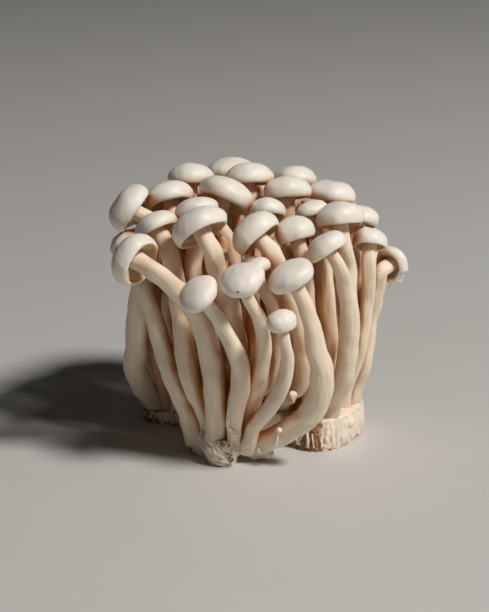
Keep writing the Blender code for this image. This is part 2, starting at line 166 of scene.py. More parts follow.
def ripples(rng, turn, along, terms):
    """Sums of waves that run round a form and along it: terms are (size, least and most waves round,
    shortest and longest wave along, count)."""
    total = np.zeros(np.broadcast(turn, along).shape)
    for size, few, many, short, long, count in terms:
        for _ in range(count):
            round_count = rng.integers(few, many + 1)
            wave = rng.uniform(short, long) * rng.choice((-1, 1))
            phase = rng.uniform(0, TAU)
            total = total + size * np.cos(round_count * turn + TAU * along / wave + phase)
    return total


def lumps(rng, points, terms):
    """Sums of waves that run through space: terms are (size, shortest and longest wave, count)."""
    total = np.zeros(points.shape[:-1])
    for size, short, long, count in terms:
        for _ in range(count):
            direction = unit(rng.normal(size=3))
            wave = rng.uniform(short, long)
            total += size * np.cos(points @ direction * TAU / wave + rng.uniform(0, TAU))
    return total


def smooth_step(low, high, value):
    t = np.clip((value - low) / (high - low), 0, 1)
    return t * t * (3 - 2 * t)


# ---------------------------------------------------------------------------------------------------------
# One mushroom's surface, as a grid of rows from the foot to the top of the cap

TURN = np.linspace(0, TAU, COLUMNS, endpoint=False)[None]

STEM_SHAPE = [(0.045, 2, 2, 45, 90, 2), (0.022, 3, 3, 30, 60, 2), (0.016, 1, 3, 8, 22, 7)]
STEM_FIBRES = [(0.009, 5, 13, 10, 30, 7), (0.003, 24, 44, 9, 30, 10)]
STEM_CREASES = [(0.014, 0, 1, 1.8, 4.5, 6)]
CAP_OUTLINE = [(0.016, 2, 2, 1e3, 2e3, 1), (0.009, 3, 3, 1e3, 2e3, 1), (0.005, 4, 6, 1e3, 2e3, 2)]
CAP_LUMPS = [(0.075, 7, 16, 7), (0.018, 2.2, 5, 8)]

# How far a cap's edge curls in: the radius of its lip, the lip's height and the height at which the cap is
# widest, as shares of the cap.
OPEN_CAP = (0.87, -0.04, 0.28)
ROUND_CAP = (0.74, -0.02, 0.40)
BALL_CAP = (0.62, -0.03, 0.46)
THICK_CAP = (0.83, -0.03, 0.32)
TORN_CAP = (0.72, -0.05, 0.42)
CAP_KINDS = {
    "mushroom_front_1": BALL_CAP,
    "mushroom_front_2": ROUND_CAP,
    "mushroom_front_3": ROUND_CAP,
    "mushroom_front_4": ROUND_CAP,
    "mushroom_right_10": ROUND_CAP,
    "mushroom_left_5": THICK_CAP,
    "mushroom_left_8": THICK_CAP,
    "mushroom_right_9": TORN_CAP,
}
TORN = "mushroom_right_9"

# Stems that are stouter below than their CAD.
WIDER = {"mushroom_left_1": 0.06, "mushroom_left_2": 0.28, "mushroom_left_3": 0.14,
         "mushroom_left_4": 0.08, "mushroom_back_1": 0.2}


def stem_rows(plan):
    """Points of the stem, from under the base's surface to the middle of the gills."""
    leaving = unit(plan.line[1] - plan.line[0])
    foot = plan.line[0]
    sunk = min(SUNK_LOW, foot[2] - 1.5) if foot[2] < SHALLOW_FOOT else SUNK
    head = plan.rim + plan.crown * (BOWL * plan.height)
    line = np.vstack([foot - leaving * sunk, plan.line, head])
    radii = np.concatenate([[plan.radii[0] * 1.12], plan.radii, [plan.neck * 1.06]])
    at = lengths_along(line)
    count = int(at[-1] / STEM_STEP)
    wanted = np.linspace(0, at[-1], count)
    middle = smooth_through(line, at, wanted)
    radius = smooth_through(radii, at, wanted)[:, None]
    along = wanted[:, None]
    side, other = carried_frames(middle)
    shape = 1 + ripples(plan.rng, TURN, along, STEM_SHAPE)
    belly = smooth_step(0.05, 0.35, along / at[-1]) * smooth_step(1.0, 0.6, along / at[-1])
    fine = ripples(plan.rng, TURN, along, STEM_FIBRES)
    fine = fine + ripples(plan.rng, TURN, along, STEM_CREASES) * belly
    flare = 1 + 0.16 * smooth_step(7.0, 0.0, along - sunk)
    wider = 1 + WIDER.get(plan.node, 0) * smooth_step(1.0, 0.55, along / at[-1])
    reach = radius * shape * flare * wider + fine
    out = np.cos(TURN)[..., None] * side[:, None] + np.sin(TURN)[..., None] * other[:, None]
    points = middle[:, None] + reach[..., None] * out
    return points, along * np.ones_like(TURN), reach, (side[-1], other[-1])


def cap_profile(plan):
    """The cap's section from the stem outward, round the lip and up to the top.

    Each row is its radius, its height at the edges of the gills, its height between them, and how far it
    is gill and outer surface.
    """
    lip_radius, lip_height, widest = CAP_KINDS.get(plan.node, OPEN_CAP)
    lip_radius *= plan.radius
    lip_height *= plan.height
    widest *= plan.height
    inner = lip_radius * 0.93
    start = plan.neck * 1.12
    share = np.linspace(0, 1, 15)[1:]
    edge = 0.20 * plan.height * (1 - share) ** 1.4 + 0.07 * plan.height
    ground = edge + 0.34 * plan.height * np.sin(np.pi * share**0.8) ** 0.7
    rows = [(start + (inner - start) * s, e, g, 1.0, 0.0) for s, e, g in zip(share, edge, ground)]
    fold = 0.07 * plan.height
    for angle in (30, 65, 100):
        a = math.radians(angle)
        r = lip_radius - (lip_radius - inner) * math.cos(a)
        z = fold - (fold - lip_height) * math.sin(a)
        rows.append((r, z, z, 0.25 * math.cos(a), 0.0))
    for angle in np.linspace(78, 12, 6):
        a = math.radians(angle)
        r = lip_radius + (plan.radius - lip_radius) * math.cos(a)
        z = widest - (widest - lip_height) * math.sin(a)
        rows.append((r, z, z, 0.0, 1.0))
    for angle in np.concatenate([np.linspace(0, 60, 9)[:-1], np.linspace(60, 88.5, 9)]):
        a = math.radians(angle)
        r = plan.radius * math.cos(a)
        z = widest + (plan.height - widest) * math.sin(a) ** 1.04
        rows.append((r, z, z, 0.0, 1.0))
    return np.array(rows)


def blade(turn, share):
    """How far out a gill stands round the cap: thin blades, every second of which starts further out."""
    wave = 0.5 + 0.5 * np.cos(GILLS * turn)
    short = 0.5 - 0.5 * np.cos(GILLS * turn / 2 + 0.01)
    late = smooth_step(0.30, 0.55, share)
    return wave**1.3 * (1 - short * (1 - late))


def torn(turn, side, other):
    """How a torn cap's edge strays: a notch in its outer right side and ragged lobes along its lower one."""
    down = np.arctan2(-other[2], -side[2])
    below = smooth_step(-0.1, 0.7, np.cos(turn - down))
    lobes = 0.045 * np.cos(7 * turn + 0.6) + 0.03 * np.cos(13 * turn + 2.1) + 0.01
    right = np.arctan2(other[0], side[0])
    notch = smooth_step(0.90, 0.985, np.cos(turn - right - 0.5))
    return below * lobes - 0.13 * notch


def cap_rows(plan, sides):
    """Points of the cap in rows, with how far out and up they are, and how far they are gill, the dip
    between two gills, and outer surface."""
    side, other = sides
    rows = cap_profile(plan)
    radius, edge, ground, gill, outer = (column[:, None] for column in rows.T)
    share = radius / plan.radius
    rng = plan.rng
    outline = ripples(rng, TURN, 0 * TURN, CAP_OUTLINE) * smooth_step(0.35, 1.0, share)
    if plan.node == TORN:
        outline = outline + torn(TURN, side, other) * smooth_step(0.45, 0.95, share)
    standing = blade(TURN, share)
    height = ground + (edge - ground) * (standing * (gill > 0.5) + (gill <= 0.5))
    height = height + ripples(rng, TURN, 0 * TURN, CAP_OUTLINE) * plan.height * smooth_step(0.5, 1, share)
    reach = radius * (1 + outline)
    out = np.cos(TURN)[..., None] * side + np.sin(TURN)[..., None] * other
    points = plan.rim + reach[..., None] * out + height[..., None] * plan.crown
    middle = plan.rim + plan.crown * plan.height * 0.3
    outward = points - middle
    outward /= np.linalg.norm(outward, axis=2)[..., None]
    points = points + outward * (lumps(rng, points, CAP_LUMPS) * outer)[..., None]
    valley = (1 - standing) * (gill > 0.5)
    return points, reach, height, gill * np.ones_like(TURN), valley, outer * np.ones_like(TURN)


Surface = namedtuple("Surface", "points on_cap on_gills valley grain foot")


def mushroom_surface(plan):
    stem, along, stem_reach, sides = stem_rows(plan)
    cap, reach, height, gill, valley, outer = cap_rows(plan, sides)
    points = np.concatenate([stem, cap])
    none = np.zeros(stem.shape[:2])
    turn = TURN * np.ones_like(along)
    grain_stem = np.stack([np.cos(turn) * stem_reach, np.sin(turn) * stem_reach, along * 0.07], axis=-1)
    turn = TURN * np.ones_like(reach)
    grain_cap = np.stack([np.cos(turn) * reach, np.sin(turn) * reach, height + 40], axis=-1)
    return Surface(
        points,
        np.concatenate([none, outer]),
        np.concatenate([none, gill]),
        np.concatenate([none, valley]),
        np.concatenate([grain_stem, grain_cap * 0.5]),
        np.concatenate([smooth_step(14, 2, along), np.zeros(reach.shape)]),
    )


# ---------------------------------------------------------------------------------------------------------
# How much shade to paint on a place, from how deep inside the cluster it is


def cluster_balls(plans):
    """Balls that stand for every stem and cap, as (middles, radii), for judging how much shade to paint on a
    place.
    """
    middles, radii = [], []
    for plan in plans:
        at = lengths_along(plan.line)
        wanted = np.arange(1.5, at[-1], 3.0)
        middles.append(smooth_through(plan.line, at, wanted))
        radii.append(smooth_through(plan.radii, at, wanted))
        side = unit(np.cross(plan.crown, (0.3, 1.0, 0.2)))
        other = np.cross(plan.crown, side)
        centre = plan.rim + plan.crown * plan.height * 0.35
        angles = np.arange(6) * TAU / 6
        around = np.cos(angles)[:, None] * side + np.sin(angles)[:, None] * other
        ring = centre + plan.radius * 0.55 * around
        middles.append(np.vstack([centre, ring]))
        radii.append(np.full(7, plan.radius * 0.42))
    return np.vstack(middles), np.concatenate(radii)


def painted_shade(points, normals, balls, reach=26.0):
    """How much shade to paint on each point: from 0, in the open, to 1, with neighbours all round."""
    middles, radii = balls
    low, high = points.min(axis=0) - reach, points.max(axis=0) + reach
    near = ((middles > low) & (middles < high)).all(axis=1)
    total = np.zeros(len(points))
    for middle, radius in zip(middles[near], radii[near]):
        away = middle - points
        distance = np.linalg.norm(away, axis=1) + 1e-6
        facing = np.clip((away * normals).sum(axis=1) / distance, 0, 1)
        total += facing * radius**2 / np.maximum(distance, radius * 1.02) ** 2 * (distance < reach)
    return 1 - np.exp(-0.42 * total)


def grid_normals(points):
    around = np.roll(points, -1, axis=1) - np.roll(points, 1, axis=1)
    up = np.gradient(points, axis=0)
    normals = np.cross(around, up)
    return normals / (np.linalg.norm(normals, axis=2)[..., None] + 1e-12)


def painted_shade_on_grid(points, balls, every=8):
    """The painted shade worked out on some columns of a grid and spread over the rest."""
    normals = grid_normals(points)[:, ::every]
    coarse = points[:, ::every]
    found = painted_shade(coarse.reshape(-1, 3), normals.reshape(-1, 3), balls).reshape(coarse.shape[:2])
    places = np.arange(points.shape[1]) / every
    wrapped = np.concatenate([found, found[:, :1]], axis=1)
    left = places.astype(int)
    part = places - left
    return wrapped[:, left] * (1 - part) + wrapped[:, left + 1] * part


# ---------------------------------------------------------------------------------------------------------
# Meshes


def set_attribute(mesh, name, values):
    values = np.asarray(values, np.float32)
    kind = "FLOAT_VECTOR" if values.ndim == 2 else "FLOAT"
    attribute = mesh.attributes.new(name, kind, "POINT")
    attribute.data.foreach_set("vector" if values.ndim == 2 else "value", values.ravel())


def new_piece(name, mesh, material):
    mesh.materials.append(material)
    mesh.shade_smooth()
    piece = bpy.data.objects.new(name, mesh)
    bpy.context.scene.collection.objects.link(piece)
    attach(piece, "root")
    return piece


def closed_grid(name, points):
    """A mesh round a grid of rows, with one point closing each end. Extra values go on in the same order."""
    rows, columns = points.shape[:2]
    low, high = points[0].mean(axis=0), points[-1].mean(axis=0)
    vertices = np.vstack([points.reshape(-1, 3), low, high]) * MM
    vertices[:, 2] = np.maximum(vertices[:, 2], 0)  # nothing reaches below what the cluster stands on
    index = np.arange(rows * columns).reshape(rows, columns)
    ahead = np.roll(index, -1, axis=1)
    quads = np.stack([index[:-1], ahead[:-1], ahead[1:], index[1:]], axis=-1).reshape(-1, 4)
    foot = rows * columns
    faces = quads.tolist()
    faces += [(foot, b, a) for a, b in zip(index[0].tolist(), ahead[0].tolist())]
    faces += [(foot + 1, a, b) for a, b in zip(index[-1].tolist(), ahead[-1].tolist())]
    mesh = bpy.data.meshes.new(name)
    mesh.from_pydata(vertices.tolist(), [], faces)
    return mesh


def with_ends(values):
    """A grid's values in the order of closed_grid's vertices."""
    flat = values.reshape(-1, *values.shape[2:])
    return np.concatenate([flat, values[:1, 0], values[-1:, 0]])


def build_mushroom(plan, balls, material):
    surface = mushroom_surface(plan)
    mesh = closed_grid(plan.node + "_look", surface.points)
    for name in Surface._fields[1:]:
        set_attribute(mesh, name, with_ends(getattr(surface, name)))
    # how much shade to paint on each point, from its neighbours in the cluster
    set_attribute(mesh, "painted_shade", with_ends(painted_shade_on_grid(surface.points, balls)))
    tone = plan.rng.uniform(0, 1)
    set_attribute(mesh, "tone", np.full(len(mesh.vertices), tone))
    piece = new_piece(plan.node.replace("mushroom_", "flesh_"), mesh, material)
    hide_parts(plan.node)
    return piece


# ---------------------------------------------------------------------------------------------------------
# Materials


class Shader:
    """A material's node tree. Each call adds a node and gives its output socket."""

    def __init__(self, name):
        self.material = bpy.data.materials.new(name)
        self.material.use_nodes = True
        self.tree = self.material.node_tree
        self.surface = self.tree.nodes["Principled BSDF"]

    def add(self, kind, inputs=(), **settings):
        node = self.tree.nodes.new(kind)
        for key, value in settings.items():
            setattr(node, key, value)
        for key, value in dict(inputs).items():
            self.feed(node.inputs[key], value)
        return node

    def feed(self, socket, value):
        if isinstance(value, bpy.types.NodeSocket):
            self.tree.links.new(value, socket)
        else:
            socket.default_value = value

    def value(self, name):
        return self.add("ShaderNodeAttribute", attribute_name=name).outputs["Fac"]

    def vector(self, name):
        return self.add("ShaderNodeAttribute", attribute_name=name).outputs["Vector"]

    def place(self):
        return self.add("ShaderNodeTexCoord").outputs["Object"]

    def noise(self, vector, scale, detail=3.0, roughness=0.55):
        inputs = {"Vector": vector, "Scale": scale, "Detail": detail, "Roughness": roughness}
        return self.add("ShaderNodeTexNoise", inputs).outputs["Fac"]

    def spread(self, value, low, high, to_low=0.0, to_high=1.0):
        inputs = {"Value": value, "From Min": low, "From Max": high, "To Min": to_low, "To Max": to_high}
        return self.add("ShaderNodeMapRange", inputs, interpolation_type="SMOOTHSTEP").outputs["Result"]

    def times(self, a, b):
        node = self.add("ShaderNodeMath", {0: a, 1: b}, operation="MULTIPLY")
        return node.outputs[0]

    def plus(self, a, b):
        node = self.add("ShaderNodeMath", {0: a, 1: b}, operation="ADD")
        return node.outputs[0]

    def mix(self, share, a, b):
        node = self.add("ShaderNodeMix", data_type="RGBA")
        self.feed(node.inputs[0], share)
        self.feed(node.inputs[6], a)
        self.feed(node.inputs[7], b)
        return node.outputs[2]

    def bump(self, height, distance, strength=1.0, normal=None):
        inputs = {"Height": height, "Distance": distance, "Strength": strength}
        if normal is not None:
            inputs["Normal"] = normal
        return self.add("ShaderNodeBump", inputs).outputs["Normal"]

    def finish(self, **sockets):
        for name, value in sockets.items():
            self.feed(self.surface.inputs[name.replace("_", " ")], value)
        return self.material


CAP_WHITE = (0.925, 0.875, 0.81, 1)
CAP_SHADE = (0.83, 0.75, 0.64, 1)
STEM_PALE = (0.91, 0.785, 0.63, 1)
STEM_STREAK = (0.81, 0.60, 0.39, 1)
GILL_PALE = (0.90, 0.66, 0.38, 1)
GILL_VALLEY_SHADE = (0.70, 0.38, 0.15, 1)
# The colour of the painted shade deep inside the cluster, on the mushrooms and on the base.
PAINTED_SHADE_TAN = (0.64, 0.285, 0.065, 1)
FOOT_TAN = (0.68, 0.55, 0.39, 1)
FELT_PALE = (0.90, 0.80, 0.69, 1)
FELT_TAN = (0.76, 0.56, 0.38, 1)
FELT_SPECK = (0.34, 0.19, 0.09, 1)
CRUMB_DARK = (0.20, 0.095, 0.04, 1)
CRUMB_TAN = (0.52, 0.30, 0.13, 1)
# The pale and the streaked colour of each kind of small piece.
STRAND_PALE = ((0.90, 0.79, 0.67, 1), (0.78, 0.57, 0.40, 1))
CRUMB_BROWN = ((0.42, 0.20, 0.08, 1), (0.16, 0.07, 0.03, 1))
SPECK_GREEN = ((0.07, 0.08, 0.025, 1), (0.03, 0.03, 0.01, 1))
FLOOR_GREY = ((0.62, 0.61, 0.595, 1), (0.65, 0.64, 0.625, 1))


def flesh_material():
    """Satin white caps, streaked cream stems, tan gills with painted shade in the dips between them, and
    painted shade, a warm deep tan, where neighbours crowd round deep in the cluster.
    """
    s = Shader("mushroom_flesh_look")
    place, grain = s.place(), s.vector("grain")
    tone = s.value("tone")
    mottle = s.spread(s.noise(place, 260, 4), 0.35, 0.75)
    cap = s.mix(s.times(mottle, 0.45), CAP_WHITE, CAP_SHADE)
    streaks = s.spread(s.noise(grain, 0.8, 5, 0.6), 0.40, 0.75)
    stem = s.mix(s.times(streaks, 0.55), STEM_PALE, STEM_STREAK)
    stem = s.mix(s.times(s.value("foot"), 0.5), stem, FOOT_TAN)
    colour = s.mix(s.value("on_cap"), stem, cap)
    # painted shade: the gills darken to a deeper tan in the dips between two blades
    gills = s.mix(s.value("valley"), GILL_PALE, GILL_VALLEY_SHADE)
    colour = s.mix(s.value("on_gills"), colour, gills)
    colour = s.mix(s.times(tone, 0.18), colour, CAP_SHADE)
    # painted shade: deep tan where the cluster's stems and caps crowd round a place, less of it on the gills
    shade_share = s.spread(s.value("painted_shade"), 0.20, 0.66, 0.0, 0.95)
    shade_share = s.times(shade_share, s.spread(s.value("on_gills"), 0, 1, 1.0, 0.4))
    colour = s.mix(shade_share, colour, PAINTED_SHADE_TAN)
    roughness = s.spread(s.value("on_cap"), 0, 1, 0.62, 0.47)
    fibre = s.bump(s.noise(grain, 4.0, 4, 0.6), 0.00012, 0.35)
    across = s.add("ShaderNodeMapping", {"Vector": grain, "Scale": (0.10, 0.10, 11.0)}).outputs["Vector"]
    creases = s.spread(s.noise(across, 0.8, 4, 0.6), 0.42, 0.72)
    creases = s.times(creases, s.spread(s.value("on_cap"), 0, 1, 1, 0))
    fibre = s.bump(creases, 0.00009, 0.5, fibre)
    skin = s.bump(s.noise(place, 900, 4, 0.6), 0.00014, 0.45, fibre)
    return s.finish(
        Base_Color=colour,
        Roughness=roughness,
        Normal=skin,
        Subsurface_Weight=0.45,
        Subsurface_Radius=(1.0, 0.55, 0.26),
        Subsurface_Scale=0.0025,
    )


def base_material():
    """Felted flesh: pale ridges, tan between them, brown where the block's crumbs cling, and painted shade,
    deep tan, where the stems crowd over it.
    """
    s = Shader("base_flesh_look")
    place = s.place()
    patches = s.spread(s.noise(place, 300, 5, 0.62), 0.40, 0.72)
    colour = s.mix(s.times(patches, 0.6), FELT_PALE, FELT_TAN)
    specks = s.spread(s.noise(place, 1400, 3, 0.6), 0.68, 0.78)
    colour = s.mix(s.times(specks, 0.55), colour, FELT_SPECK)
    crumbs = s.mix(s.spread(s.noise(place, 900, 4, 0.6), 0.4, 0.65), CRUMB_DARK, CRUMB_TAN)
    ragged = s.plus(s.value("brown"), s.spread(s.noise(place, 700, 5, 0.65), 0.3, 0.7, -0.28, 0.28))
    colour = s.mix(s.spread(ragged, 0.34, 0.8), colour, crumbs)
    # painted shade: deep tan where the stems and caps crowd over the base
    colour = s.mix(s.spread(s.value("painted_shade"), 0.45, 0.98, 0.0, 0.75), colour, PAINTED_SHADE_TAN)
    rough = s.bump(s.noise(place, 1500, 5, 0.65), 0.0004, 0.7)
    return s.finish(
        Base_Color=colour, Roughness=0.72, Normal=rough,
        Subsurface_Weight=0.25, Subsurface_Radius=(1.0, 0.5, 0.25), Subsurface_Scale=0.0015,
    )


def strand_material(name, pale, streak):
    """Small pieces: one colour streaked with another."""
    s = Shader(name)
    place = s.place()
    streaks = s.spread(s.noise(place, 800, 4, 0.6), 0.42, 0.7)
    rough = s.bump(s.noise(place, 1800, 4, 0.6), 0.0002, 0.5)
    return s.finish(
        Base_Color=s.mix(s.times(streaks, 0.6), pale, streak), Roughness=0.58, Normal=rough,
        Subsurface_Weight=0.35, Subsurface_Radius=(1.0, 0.55, 0.28), Subsurface_Scale=0.0015,
    )


def floor_material():
    """A plain pale floor, barely uneven."""
    s = Shader("floor_pale")
    grain = s.noise(s.place(), 40, 4)
    colour = s.mix(grain, *FLOOR_GREY)
    return s.finish(Base_Color=colour, Roughness=0.6)


# ---------------------------------------------------------------------------------------------------------
# Tubes, for strands, ridges and the smallest mushrooms

TUBE_COLUMNS = 20  # points round a tube
TUBE_STEP = 0.35  # between two rows of a tube


def tube(line, radii, rng, wobble=0.07):
    """Points of a round-ended tube along a line, as a grid of rows."""
    line = np.asarray(line, float)
    at = lengths_along(line)
    wanted = np.linspace(0, at[-1], max(8, int(at[-1] / TUBE_STEP)))
    middle = smooth_through(line, at, wanted)
    radius = smooth_through(np.asarray(radii, float), at, wanted)
    side, other = carried_frames(middle)
    from_start = np.clip(wanted / radius, 0.03, 1)
    from_end = np.clip((at[-1] - wanted) / radius, 0.03, 1)
    rounded = np.sqrt(1 - (1 - from_start) ** 2) * np.sqrt(1 - (1 - from_end) ** 2)
    turn = np.linspace(0, TAU, TUBE_COLUMNS, endpoint=False)[None]
    uneven = 1 + ripples(rng, turn, wanted[:, None], [(wobble, 1, 3, 2.5, 7, 3)])
    reach = (radius * rounded)[:, None] * uneven
    out = np.cos(turn)[..., None] * side[:, None] + np.sin(turn)[..., None] * other[:, None]
    return middle[:, None] + reach[..., None] * out


def joined(name, grids):
    """One mesh of several closed grids."""
    vertices, faces, start = [], [], 0
    for points in grids:
        one = closed_grid("part_of_" + name, points)
        vertices += [tuple(vertex.co) for vertex in one.vertices]
        faces += [tuple(start + i for i in face.vertices) for face in one.polygons]
        start = len(vertices)
        bpy.data.meshes.remove(one)
    mesh = bpy.data.meshes.new(name)
    mesh.from_pydata(vertices, [], faces)
    return mesh


# ---------------------------------------------------------------------------------------------------------
# The base

VOXEL = 0.42  # how finely the base is made
MAIN_MIDDLE = (6.0, 12.0)  # of the base, seen from above
CURL_MIDDLE = (-7.5, 11.8)  # the butt's strands curl round this place, as x and z on its front wall
CURL_FLAT = 0.92  # how much lower than round their curls are
WALL_TOP = 7.2  # the highest place on the front wall that a line from the front still meets
BUTT_MIDDLE = (-12, -24, 4)
BUTT_HEART = (-12.5, -21.0)  # the upright line that the butt's foot and shoulder are drawn in towards
LOBE_CORNER = ((0.5, -28), (0.5, -20))  # the corner of the front lobe that the stems leave bare
BROWN_FACE = ((12, -6.5), (22, -13.0))  # the brown front face of the main mass, seen from above
# How brown the crumbs make other places, how far out and how close in that starts and is full, and where.
BROWN_PLACES = (
    (0.75, 3.4, 0.8, (-9.6, -29, 5.2)),
    (0.9, 3.4, 1.0, (-6.0, -28, 6.3)),
    (0.6, 9, 3, (-41, 23, 2)),
)


def tree_of(mesh):
    return BVHTree.FromPolygons([v.co for v in mesh.vertices], [tuple(p.vertices) for p in mesh.polygons])


BASE_TREE = tree_of(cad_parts[BASE_NODE].data)


def on_wall(x, z, tree=BASE_TREE):
    """The place on the base's front wall at x and z, or above that wall where z is over its top."""
    place = tree.ray_cast(Vector((x, -100, min(z, WALL_TOP))) * MM, Vector((0, 1, 0)))[0]
    return np.array([x, place.y / MM if place else -20.0, z])


def wall_round(angle, z):
    """The place on the base's outer wall in a direction from its middle, and the wall's outward side."""
    outward = Vector((math.cos(angle), math.sin(angle), 0))
    start = Vector((*MAIN_MIDDLE, z)) * MM + outward * 0.1
    place, normal = BASE_TREE.ray_cast(start, -outward)[:2]
    return (np.array(place) / MM, np.array(normal)) if place else (None, None)


def top_at(x, y):
    """How high the base is at x and y."""
    place = BASE_TREE.ray_cast(Vector((x, y, 60)) * MM, Vector((0, 0, -1)))[0]
    return place.z / MM if place else 0.0


def butt_strands(rng, tree):
    """Ropes of flesh that run down the front of the butt from its left and curl to its right."""
    grids = []
    for radius in (3.2, 4.9, 6.3, 7.9, 9.3, 10.9, 12.3):
        thick = rng.uniform(0.55, 1.15)
        line = []
        for degrees in np.arange(168 + 1.6 * radius, rng.uniform(255, 288), 9):
            angle = math.radians(degrees)
            x = CURL_MIDDLE[0] + radius * math.cos(angle) + rng.normal(0, 0.10)
            z = CURL_MIDDLE[1] + CURL_FLAT * radius * math.sin(angle) + rng.normal(0, 0.10)
            if 0.9 < z < 10.4:
                above = max(z - WALL_TOP, 0)
                line.append(on_wall(x, z, tree) + (0, 0.45 * above - rng.uniform(0.0, 0.35), 0))
        grids.append(tube(line, np.linspace(thick, thick * 0.7, len(line)), rng, 0.10))
    return grids


def wall_ridges(rng):
    """Upright ridges half sunk in the wall, from the right of the front round to the back left."""
    grids = []
    angle = math.radians(-68)
    while angle < math.radians(200):
        low, normal = wall_round(angle, 3.0)
        angle += rng.uniform(0.035, 0.075)
        if low is None:
            continue
        top = top_at(*(low[:2] - normal[:2] * 1.2))
        lean = rng.normal(0, 0.5)
        across = np.array([-normal[1], normal[0], 0])
        heights = np.linspace(rng.uniform(0.7, 2.2), top - rng.uniform(0.2, 2.5), 4)
        line = [
            np.array([low[0], low[1], z]) + across * (lean * z / 8 + rng.normal(0, 0.15))
            - normal * rng.uniform(-0.15, 0.35)
            for z in heights
        ]
        thick = rng.uniform(0.45, 0.95)
        grids.append(tube(line, [thick, thick * 1.1, thick, thick * 0.7], rng, 0.12))
    return grids


def foot_collars(plans, rng):
    """The swelling of felt round the foot of each mushroom."""
    grids = []
    for plan in plans:
        foot = plan.line[0]
        radius = plan.radii[0]
        line = [foot - (0, 0, 3.2), foot - (0, 0, 1.0), foot + (0, 0, rng.uniform(0.6, 1.7))]
        grids.append(tube(line, [radius * 1.3, radius * rng.uniform(1.2, 1.4), radius * 1.05], rng, 0.06))
    return grids


def hanging_foot(rng):
    """A swollen foot on the right wall, with fibres that hang from it."""
    at, normal = wall_round(math.radians(-28), 6.0)
    across = np.array([-normal[1], normal[0], 0])
    middle = np.array([at[0], at[1], 8.6]) - normal * 1.2
    grids = [tube([middle - (0, 0, 3), middle, middle + (0, 0, 3)], [2.1, 2.9, 2.2], rng, 0.08)]
    for share in (-1.6, -0.5, 0.5, 1.5):
        start = middle - (0, 0, 2.4) + across * share + normal * 0.9
        end = start - (0, 0, rng.uniform(3.0, 4.6)) + across * rng.normal(0, 0.5)
        grids.append(tube([start, (start + end) / 2 + normal * 0.3, end], [0.7, 0.6, 0.4], rng, 0.15))
    return grids


def fused(grids):
    """The CAD base and all that grows on it, as one fine even mesh."""
    mesh = joined("base_felt", grids)
    extra = bpy.data.objects.new("base_extra", mesh)
    body = bpy.data.objects.new("base_work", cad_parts[BASE_NODE].data.copy())
    for piece in (body, extra):
        bpy.context.scene.collection.objects.link(piece)
    bpy.ops.object.select_all(action="DESELECT")
    extra.select_set(True)
    body.select_set(True)
    bpy.context.view_layer.objects.active = body
    bpy.ops.object.join()
    remesh = body.modifiers.new("even", "REMESH")
    remesh.mode = "VOXEL"
    remesh.voxel_size = VOXEL * MM
    bpy.context.view_layer.update()
    evaluated = body.evaluated_get(bpy.context.evaluated_depsgraph_get())
    fine = bpy.data.meshes.new_from_object(evaluated)
    bpy.data.objects.remove(body)
    fine.materials.clear()
    return fine


def near_line(points, a, b):
    """How far points are from the line from a to b, seen from above."""
    a, b = np.array(a, float), np.array(b, float)
    share = np.clip((points[:, :2] - a) @ (b - a) / ((b - a) @ (b - a)), 0, 1)
    return np.linalg.norm(points[:, :2] - a - share[:, None] * (b - a), axis=1)


def near(points, place):
    """How far points are from a place."""
    return np.linalg.norm(points - np.array(place, float), axis=1)


def mesh_points(mesh):
    points = np.empty(len(mesh.vertices) * 3)
    mesh.vertices.foreach_get("co", points)
    return points.reshape(-1, 3) / MM


def mesh_normals(mesh):
    normals = np.empty(len(mesh.vertices) * 3)
    mesh.vertex_normals.foreach_get("vector", normals)
    return normals.reshape(-1, 3)


def noise_at(points, scale, offset, rough):
    """Fractal noise at each point, stretched by its scale along x, y and z."""
    return np.array([
        noise.fractal(Vector((x * scale[0], y * scale[1], z * scale[2] + offset)), rough, 2.0, 4)
        for x, y, z in points
    ])


def worked(mesh):
    """Fibres and crumbs worked into the base's surface, its butt drawn in. Gives how brown each point is."""
    points, normals = mesh_points(mesh), mesh_normals(mesh)
    wall = smooth_step(0.85, 0.45, np.abs(normals[:, 2]))
    low = smooth_step(2.6, 0.6, points[:, 2])
    fibre = noise_at(points, (0.85, 0.85, 0.16), 0, 0.9)
    crumb = noise_at(points, (0.9, 0.9, 0.9), 50, 0.8)
    above = smooth_step(0.15, 0.9, points[:, 2])
    butt = smooth_step(15, 11.5, near(points, BUTT_MIDDLE))
    fibre_size = 0.42 - 0.24 * butt
    push = (fibre_size * wall * fibre + 0.28 * (1 - wall) * crumb + 0.65 * low * wall * crumb) * above
    moved = points + normals * push[:, None]
    corner = smooth_step(9.5, 0.0, near_line(points, *LOBE_CORNER))
    moved[:, 0] -= 4.2 * corner
    moved[:, 1] += 2.6 * corner
    taper = 0.26 * butt * smooth_step(8.0, 0.0, points[:, 2])
    taper += 0.20 * butt * smooth_step(4.5, 8.5, points[:, 2])
    moved[:, 0] += taper * (BUTT_HEART[0] - moved[:, 0])
    moved[:, 1] += taper * (BUTT_HEART[1] - moved[:, 1]) * 0.7
    moved[:, 2] = np.maximum(moved[:, 2], 0)
    mesh.vertices.foreach_set("co", (moved * MM).ravel())
    mesh.update()
    brown = smooth_step(0.0, -0.7, fibre) * 0.22 * wall + smooth_step(0.0, -0.7, crumb) * 0.18
    brown += low * wall * (0.45 + 0.5 * crumb) * (1 - 0.75 * butt)
    brown += 0.95 * smooth_step(3.8, 1.2, near_line(points, *BROWN_FACE)) * above
    for strength, far, close, place in BROWN_PLACES:
        brown += strength * smooth_step(far, close, near(points, place))
    brown += 0.45 * smooth_step(0.2, 0.6, normals[:, 2]) * smooth_step(8.9, 7.5, points[:, 2])
    return np.clip(brown, 0, 1)


